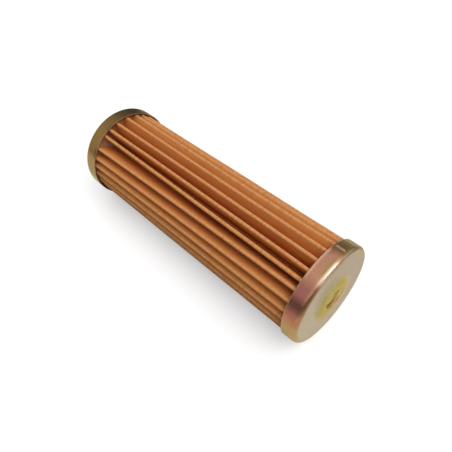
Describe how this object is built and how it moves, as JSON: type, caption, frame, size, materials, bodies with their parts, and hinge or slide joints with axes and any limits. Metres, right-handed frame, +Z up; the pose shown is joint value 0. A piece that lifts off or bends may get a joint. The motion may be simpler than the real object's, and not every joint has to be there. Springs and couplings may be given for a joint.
{
  "type": "fuel filter element",
  "caption": "Cylindrical fuel filter element: pleated paper bonded between two pressed, yellow-plated end caps, one closed and one with a raised central outlet hole.",
  "frame": {"origin": "on the surface that the element lies on, under the middle of its box", "axes": "+X along the element's axis towards the outlet, +Z up"},
  "size_m": [0.0936, 0.031, 0.0309],
  "materials": {
    "plated_steel": "yellow chromate plating, satin",
    "filter_paper": "resin-treated, fibrous",
    "seam_glue": "cured hot melt",
    "tube_steel": "tinned sheet",
    "potting_resin": "cured resin, slightly glossy"
  },
  "bodies": {
    "root": {"outlet_end_cap": "plated_steel", "blind_end_cap": "plated_steel", "pleated_paper": "filter_paper", "seam_adhesive": "seam_glue", "center_tube": "tube_steel", "outlet_potting": "potting_resin", "blind_potting": "potting_resin"}
  },
  "joints": []
}
